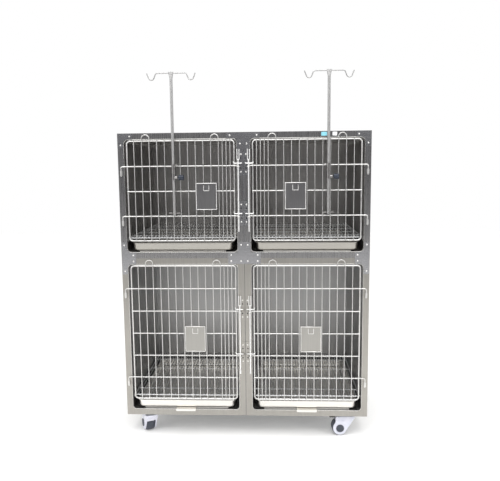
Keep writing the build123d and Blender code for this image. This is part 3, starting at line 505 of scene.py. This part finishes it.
# ------------------------------------------------------------------ doors and hinge eyes
# The doors are stainless wire, resistance welded where the wires cross and then electropolished.
# The finish is bright with a faint drawn grain, and each weld leaves a small flat nugget.
def polished_wire(name, light, dark, roughness):
    """Electropolished stainless wire: bright, with faint mottling and drawing marks."""
    made, tree, shader, place = start_material(name)
    mottle = add_node(
        tree,
        "ShaderNodeTexNoise",
        {"Scale": 1000 / 9.0, "Detail": 3.0, "Roughness": 0.6},
        {"Vector": place},
    )
    grain = add_node(
        tree, "ShaderNodeTexNoise", {"Scale": 1000 / 1.5, "Detail": 1.0}, {"Vector": place}
    )
    tone = add_node(
        tree,
        "ShaderNodeMix",
        {"data_type": "RGBA", 6: linear(dark), 7: linear(light)},
        {0: mottle.outputs["Fac"]},
    )
    rough = add_node(
        tree,
        "ShaderNodeMapRange",
        {"From Min": 0.3, "From Max": 0.7, "To Min": roughness - 0.04, "To Max": roughness + 0.05},
        {"Value": mottle.outputs["Fac"]},
    )
    marks = add_node(
        tree,
        "ShaderNodeBump",
        {"Strength": 0.04, "Distance": 0.0001},
        {"Height": grain.outputs["Fac"]},
    )
    tree.links.new(tone.outputs[2], shader.inputs["Base Color"])
    tree.links.new(rough.outputs["Result"], shader.inputs["Roughness"])
    tree.links.new(marks.outputs["Normal"], shader.inputs["Normal"])
    shader.inputs["Metallic"].default_value = 1.0
    return made


door_wire = polished_wire("electropolished door wire", "#E6E5E3", "#D3D2D0", 0.34)
dress([f"{cage}_door" for cage in CAGES] + ["hinge_eyes"], door_wire)

HINGE_WIRE = 0.565  # from the middle of the bank to a door's hinge side wire
BAR_PITCH = 0.520 / 14
BARS = [*range(1, 13), 12.5, 13.0, 13.5]  # counted in pitches from the hinge side wire
ROWS = {"upper_left": 4, "upper_right": 4, "lower_left": 6, "lower_right": 6}
DOOR_TOP = 0.008  # from the top of the doorway to the top wire
DOOR_BOTTOM = 0.058  # from the foot of the doorway to the bottom wire
WELD_Y = 0.0083  # face to the plane where bars and cross wires meet
NUGGET = (0.0029, 0.0016, 0.0034)  # half sizes of a weld

for cage in CAGES:
    side = -1 if cage.endswith("left") else 1
    low, high = doorway(cage)
    face_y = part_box(f"{cage}_face")[0].y
    top, bottom = high.z - DOOR_TOP, low.z + DOOR_BOTTOM
    welds = bmesh.new()
    for row in range(ROWS[cage] + 1):
        z = top - row * (top - bottom) / ROWS[cage]
        for bar in BARS:
            x = side * (HINGE_WIRE - bar * BAR_PITCH)
            place = Matrix.Translation((x, face_y - WELD_Y, z)) @ Matrix.Diagonal((*NUGGET, 1.0))
            bmesh.ops.create_icosphere(welds, subdivisions=1, radius=1.0, matrix=place)
    nuggets = mesh_object(f"{cage}_door_welds", welds, door_wire)
    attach(nuggets, f"{cage}_door")

# ------------------------------------------------------------------ latches
# A latch is one polished rod with two welded arms and a hairpin to lift it by. It is
# handled every day. Its near-white colour is painted reflection, brighter than the door wire.
latch_rod_painted_reflection = polished_wire("polished latch rod, painted reflection", "#FFFFFF", "#F1F0EE", 0.46)
dress([f"{cage}_latch" for cage in CAGES], latch_rod_painted_reflection)

# ------------------------------------------------------------------ card holders
# Folded 1 mm sheet pockets, hooked on the bars. A paper card can slide in from the top. Those on
# the upper doors mirror the dark side of the room, and those on the lower doors mirror the floor.
upper_pocket = brushed_stainless(
    "satin stainless, upper pockets", "#9E9D9E", "#8A898A", 0.3, 2.5
)
lower_pocket = brushed_stainless(
    "satin stainless, lower pockets", "#AFADA8", "#A19F9B", 0.34, 2.5
)
dress(("upper_left_card_holder", "upper_right_card_holder"), upper_pocket)
dress(("lower_left_card_holder", "lower_right_card_holder"), lower_pocket)
HEM_RADIUS = 0.0024
HEM_SINK = 0.8  # of its radius: how far the middle of the hem lies behind the pocket's front
TAB_WIDTH = 0.026
TAB_DROP = 0.012
TAB_EDGE_RADIUS = 0.0016
# The hems and tab edges are painted near white as highlight.
hem_painted_highlight = polished_wire("pocket hem, painted highlight", "#FAF9F7", "#E6E5E3", 0.4)
for cage in CAGES:
    low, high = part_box(f"{cage}_card_holder")
    hem_y = low.y + HEM_RADIUS * HEM_SINK
    left, right = low.x + HEM_RADIUS, high.x - HEM_RADIUS
    bottom, top = low.z + HEM_RADIUS, high.z - HEM_RADIUS
    hem = tube(
        f"{cage}_pocket_hem",
        [(left, hem_y, top), (left, hem_y, bottom), (right, hem_y, bottom), (right, hem_y, top)],
        HEM_RADIUS,
        hem_painted_highlight,
        closed=True,
    )
    middle = (low.x + high.x) / 2
    tab_left, tab_right = middle - TAB_WIDTH / 2, middle + TAB_WIDTH / 2
    tab_top, tab_foot = high.z - TAB_DROP, high.z - TAB_DROP - TAB_WIDTH
    tab_y = high.y - TAB_EDGE_RADIUS
    tab_edge = tube(
        f"{cage}_pocket_tab_edge",
        [
            (tab_left, tab_y, tab_top),
            (tab_left, tab_y, tab_foot),
            (tab_right, tab_y, tab_foot),
            (tab_right, tab_y, tab_top),
        ],
        TAB_EDGE_RADIUS,
        hem_painted_highlight,
    )
    for piece in (hem, tab_edge):
        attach(piece, f"{cage}_door")

# ------------------------------------------------------------------ trays
# Drip trays are pressed from 1 mm satin sheet with a wired rim. The upper trays are painted
# darker, as shade, and the lower ones near white, as light. The two lower ones have a folded strip
# under the front as a finger pull.
tray_sheet_painted_light = brushed_stainless(
    "lower satin tray sheet, painted light", "#F6F4F0", "#E2DFD9", 0.34, 4.0, ALONG_X
)
tray_sheet_painted_shade = brushed_stainless(
    "upper satin tray sheet, painted shade", "#BDBAB3", "#A6A39D", 0.34, 4.0, ALONG_X
)
dress(("lower_left_tray", "lower_right_tray"), tray_sheet_painted_light)
dress(("upper_left_tray", "upper_right_tray"), tray_sheet_painted_shade)
dress(("lower_left_tray_handle", "lower_right_tray_handle"), tray_sheet_painted_light)

# A bright strip fills the runner gap under each tray's front. Its colour is painted light,
# standing in for the lit liner below.
LIT_STRIP_DROP = 0.0052
LIT_STRIP_SHEET = 0.001
LIT_STRIP_INSET = 0.012  # behind the rim, under the front of the tray floor
LIT_STRIP_END = 0.040  # clear of the tray's round corners
LIT_STRIP_GAP = 0.0001
LIT_STRIP_EDGE = 0.0003
for cage in CAGES:
    low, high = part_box(f"{cage}_tray")
    painted_light_strip = bmesh.new()
    size = (high.x - low.x - 2 * LIT_STRIP_END, LIT_STRIP_SHEET, LIT_STRIP_DROP)
    spot = ((low.x + high.x) / 2, low.y + LIT_STRIP_INSET, low.z - LIT_STRIP_DROP / 2 - LIT_STRIP_GAP)
    block(painted_light_strip, size, spot)
    bmesh.ops.bevel(painted_light_strip, geom=painted_light_strip.edges[:], offset=LIT_STRIP_EDGE, segments=2, affect="EDGES")
    strip = mesh_object(f"{cage}_tray_apron", painted_light_strip, tray_sheet_painted_light, smooth=False)
    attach(strip, f"{cage}_tray")

# ------------------------------------------------------------------ floor grates
# Lift-out grates of fine polished wires, welded on square cross bars. Their near-white colour
# is painted reflection, brighter than the wires of the doors.
grate_wire_painted_reflection = polished_wire("grate wire, electropolished, painted reflection", "#FFFFFF", "#EDEEF0", 0.42)
dress([f"{cage}_grate" for cage in CAGES], grate_wire_painted_reflection)

# ------------------------------------------------------------------ drip stands
# Each stand is polished tube, flattened at the top, with one bent rod welded through as a double
# hook. It slides in a sleeve that hangs on the door, and a moulded thumb screw locks it.
stand_tube = polished_wire("polished stand tube", "#B9B8B6", "#A5A5A6", 0.42)
sleeve_steel = polished_wire("satin sleeve steel", "#A5A3A1", "#8E8C8B", 0.3)
dress(("upper_left_drip_stand", "upper_right_drip_stand"), stand_tube)
dress(("upper_left_stand_sleeve", "upper_right_stand_sleeve"), sleeve_steel)


def moulded_plastic(name, light, dark, roughness, grit_mm):
    """Moulded plastic: even colour with slight flow marks, over a fine spark-eroded grit."""
    made, tree, shader, place = start_material(name)
    flow = add_node(
        tree, "ShaderNodeTexNoise", {"Scale": 1000 / 30, "Detail": 2.0}, {"Vector": place}
    )
    grit = add_node(
        tree, "ShaderNodeTexNoise", {"Scale": 1000 / grit_mm, "Detail": 2.0}, {"Vector": place}
    )
    tone = add_node(
        tree,
        "ShaderNodeMix",
        {"data_type": "RGBA", 6: linear(dark), 7: linear(light)},
        {0: flow.outputs["Fac"]},
    )
    rough = add_node(
        tree,
        "ShaderNodeMapRange",
        {"To Min": roughness - 0.06, "To Max": roughness + 0.06},
        {"Value": grit.outputs["Fac"]},
    )
    texture = add_node(
        tree,
        "ShaderNodeBump",
        {"Strength": 0.25, "Distance": 0.0001},
        {"Height": grit.outputs["Fac"]},
    )
    tree.links.new(tone.outputs[2], shader.inputs["Base Color"])
    tree.links.new(rough.outputs["Result"], shader.inputs["Roughness"])
    tree.links.new(texture.outputs["Normal"], shader.inputs["Normal"])
    shader.inputs["IOR"].default_value = 1.5
    return made


knob_nylon = moulded_plastic("moulded blue-black nylon", "#1E2A3C", "#131B28", 0.42, 1.2)
dress(("upper_left_stand_knob", "upper_right_stand_knob"), knob_nylon)

# ------------------------------------------------------------------ casters
# Twin-cheeked swivel casters: a glossy pale lavender nylon housing over a slate grey tyre, slate
# hub caps, a black brake pedal on the front pair, and a zinc plated top plate with four bolts.
housing_nylon = moulded_plastic("pale lavender nylon housing", "#E6E6EF", "#CFD1DF", 0.3, 2.0)
pedal_nylon = moulded_plastic("black nylon pedal", "#2B2C30", "#1C1D20", 0.45, 1.5)
tyre_rubber = moulded_plastic("slate tyre and hub", "#4A4F59", "#343841", 0.5, 1.5)
CASTERS = ("front_left_caster", "front_right_caster", "back_left_caster", "back_right_caster")
dress([f"{caster}_cover" for caster in CASTERS], housing_nylon)
dress([f"{caster}_wheel" for caster in CASTERS], tyre_rubber)
dress(("front_left_caster_brake_pedal", "front_right_caster_brake_pedal"), pedal_nylon)
zinc = brushed_stainless("zinc plated steel", "#B9BDBF", "#94999C", 0.38, 2.0, NO_GRAIN)
dress(("caster_plates", "caster_bolts"), zinc)

# ------------------------------------------------------------------ blank stickers
# Two paper labels are stuck on the top rail at the right: a cyan one and a white one, unprinted.
STICKERS = (  # name, left edge, width, darker and lighter tone
    ("cyan_label", 0.372, 0.027, "#7FD3E8", "#A5E2F0"),
    ("white_label", 0.425, 0.022, "#F2F5F7", "#FFFFFF"),
)
STICKER_DROP = 0.004
STICKER_HEIGHT = 0.018
STICKER_LIFT = 0.0003
STICKER_CORNER = 0.002


def coated_paper(name, light, dark):
    """Coated label paper: smooth and slightly glossy, with a faint pulp mottle."""
    made, tree, shader, place = start_material(name)
    pulp = add_node(
        tree, "ShaderNodeTexNoise", {"Scale": 1000 / 3.0, "Detail": 3.0}, {"Vector": place}
    )
    tone = add_node(
        tree,
        "ShaderNodeMix",
        {"data_type": "RGBA", 6: linear(dark), 7: linear(light)},
        {0: pulp.outputs["Fac"]},
    )
    fibres = add_node(
        tree,
        "ShaderNodeBump",
        {"Strength": 0.1, "Distance": 0.0001},
        {"Height": pulp.outputs["Fac"]},
    )
    tree.links.new(tone.outputs[2], shader.inputs["Base Color"])
    tree.links.new(fibres.outputs["Normal"], shader.inputs["Normal"])
    shader.inputs["Roughness"].default_value = 0.4
    return made


low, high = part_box("upper_right_face")
face_y = low.y
sticker_top = high.z - STICKER_DROP
for name, x, width, dark, light in STICKERS:
    label = bmesh.new()
    outline = round_rectangle(
        x, sticker_top - STICKER_HEIGHT, x + width, sticker_top, STICKER_CORNER, 4
    )
    front = [label.verts.new((px, face_y - STICKER_LIFT, pz)) for px, pz in outline]
    back = [label.verts.new((px, face_y, pz)) for px, pz in outline]
    label.faces.new(front)
    for index in range(len(front)):
        after = (index + 1) % len(front)
        label.faces.new((front[index], front[after], back[after], back[index]))
    paper = coated_paper(f"coated label paper, {name.split('_')[0]}", light, dark)
    sticker = mesh_object(name, label, paper, smooth=False)
    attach(sticker, "cabinet")

# ------------------------------------------------------------------ floor, light and camera
# The bank stands on a plain pale floor in an even, bright room. The room is darker at eye level
# behind the viewer, which is what the upright sheets mirror.
floor_mesh = bmesh.new()
FLOOR_FRONT, FLOOR_BACK, FLOOR_SIDE = -7.0, 9.0, 8.0
corners = (
    (-FLOOR_SIDE, FLOOR_FRONT),
    (FLOOR_SIDE, FLOOR_FRONT),
    (FLOOR_SIDE, FLOOR_BACK),
    (-FLOOR_SIDE, FLOOR_BACK),
)
floor_mesh.faces.new([floor_mesh.verts.new((x, y, 0.0)) for x, y in corners])
floor_paint, tree, shader, place = start_material("pale floor paint")
dust = add_node(tree, "ShaderNodeTexNoise", {"Scale": 3.0, "Detail": 3.0}, {"Vector": place})
tone = add_node(
    tree,
    "ShaderNodeMix",
    {"data_type": "RGBA", 6: linear("#F3F2F0"), 7: linear("#FAFAF9")},
    {0: dust.outputs["Fac"]},
)
tree.links.new(tone.outputs[2], shader.inputs["Base Color"])
shader.inputs["Roughness"].default_value = 0.7
shader.inputs["Emission Color"].default_value = (1.0, 1.0, 1.0, 1.0)
shader.inputs["Emission Strength"].default_value = 0.12
floor = mesh_object("floor", floor_mesh, floor_paint, smooth=False)

world = bpy.data.worlds.new("bright room")
bpy.context.scene.world = world
world.use_nodes = True
tree = world.node_tree
background = tree.nodes["Background"]
direction = add_node(tree, "ShaderNodeTexCoord").outputs["Generated"]
toward = add_node(tree, "ShaderNodeSeparateXYZ", {}, {0: direction})
height = add_node(
    tree,
    "ShaderNodeMapRange",
    {"interpolation_type": "SMOOTHSTEP", "From Min": -0.02, "From Max": 0.45},
    {"Value": toward.outputs["Z"]},
)
depth = add_node(
    tree,
    "ShaderNodeMapRange",
    {"interpolation_type": "SMOOTHSTEP", "From Min": -0.35, "From Max": 0.7},
    {"Value": toward.outputs["Y"]},
)
open_room = add_node(
    tree,
    "ShaderNodeMath",
    {"operation": "MAXIMUM"},
    {0: height.outputs["Result"], 1: depth.outputs["Result"]},
)
room = add_node(
    tree,
    "ShaderNodeMix",
    {"data_type": "RGBA", 6: linear("#5E5E62"), 7: linear("#FFFFFF")},
    {0: open_room.outputs["Value"]},
)

# The sheets mirror this room, but the camera sees plain white beyond the floor.
straight = add_node(tree, "ShaderNodeLightPath").outputs["Is Camera Ray"]
seen = add_node(
    tree,
    "ShaderNodeMix",
    {"data_type": "RGBA", 7: (1.0, 1.0, 1.0, 1.0)},
    {0: straight, 6: room.outputs[2]},
)
tree.links.new(seen.outputs[2], background.inputs["Color"])
background.inputs["Strength"].default_value = 1.0

LAMPS = (  # name, place, aim, width in metres and power in watts
    ("overhead softbox", (0.0, -1.6, 3.6), (0.0, 0.0, 0.9), 3.0, 70.0),
    ("left softbox", (-3.2, -2.6, 2.2), (0.0, 0.0, 0.8), 1.6, 28.0),
    ("right softbox", (3.2, -2.2, 2.4), (0.0, 0.0, 0.8), 1.6, 22.0),
)
for name, spot, target, size, power in LAMPS:
    lamp = bpy.data.lights.new(name, "AREA")
    lamp.shape = "SQUARE"
    lamp.size = size
    lamp.energy = power
    holder = bpy.data.objects.new(name, lamp)
    holder.location = spot
    holder.rotation_euler = (Vector(target) - Vector(spot)).to_track_quat("-Z", "Y").to_euler()
    bpy.context.scene.collection.objects.link(holder)

LENS_MM = 41.0
SENSOR_MM = 36.0
CAMERA_PLACE = (0.1572, -3.0908, 1.3594)
LOOK_DOWN = 0.1261  # this angle and the next two are in radians
LOOK_LEFT = 0.0468
TILT = -0.0100
lens = bpy.data.cameras.new("viewpoint")
lens.sensor_fit = "HORIZONTAL"
lens.sensor_width = SENSOR_MM
lens.lens = LENS_MM
camera = bpy.data.objects.new("viewpoint", lens)
camera.matrix_world = (
    Matrix.Translation(CAMERA_PLACE)
    @ Matrix.Rotation(LOOK_LEFT, 4, "Z")
    @ Matrix.Rotation(math.pi / 2 - LOOK_DOWN, 4, "X")
    @ Matrix.Rotation(TILT, 4, "Z")
)
bpy.context.scene.collection.objects.link(camera)
bpy.context.scene.camera = camera
bpy.context.scene.view_settings.view_transform = "Standard"
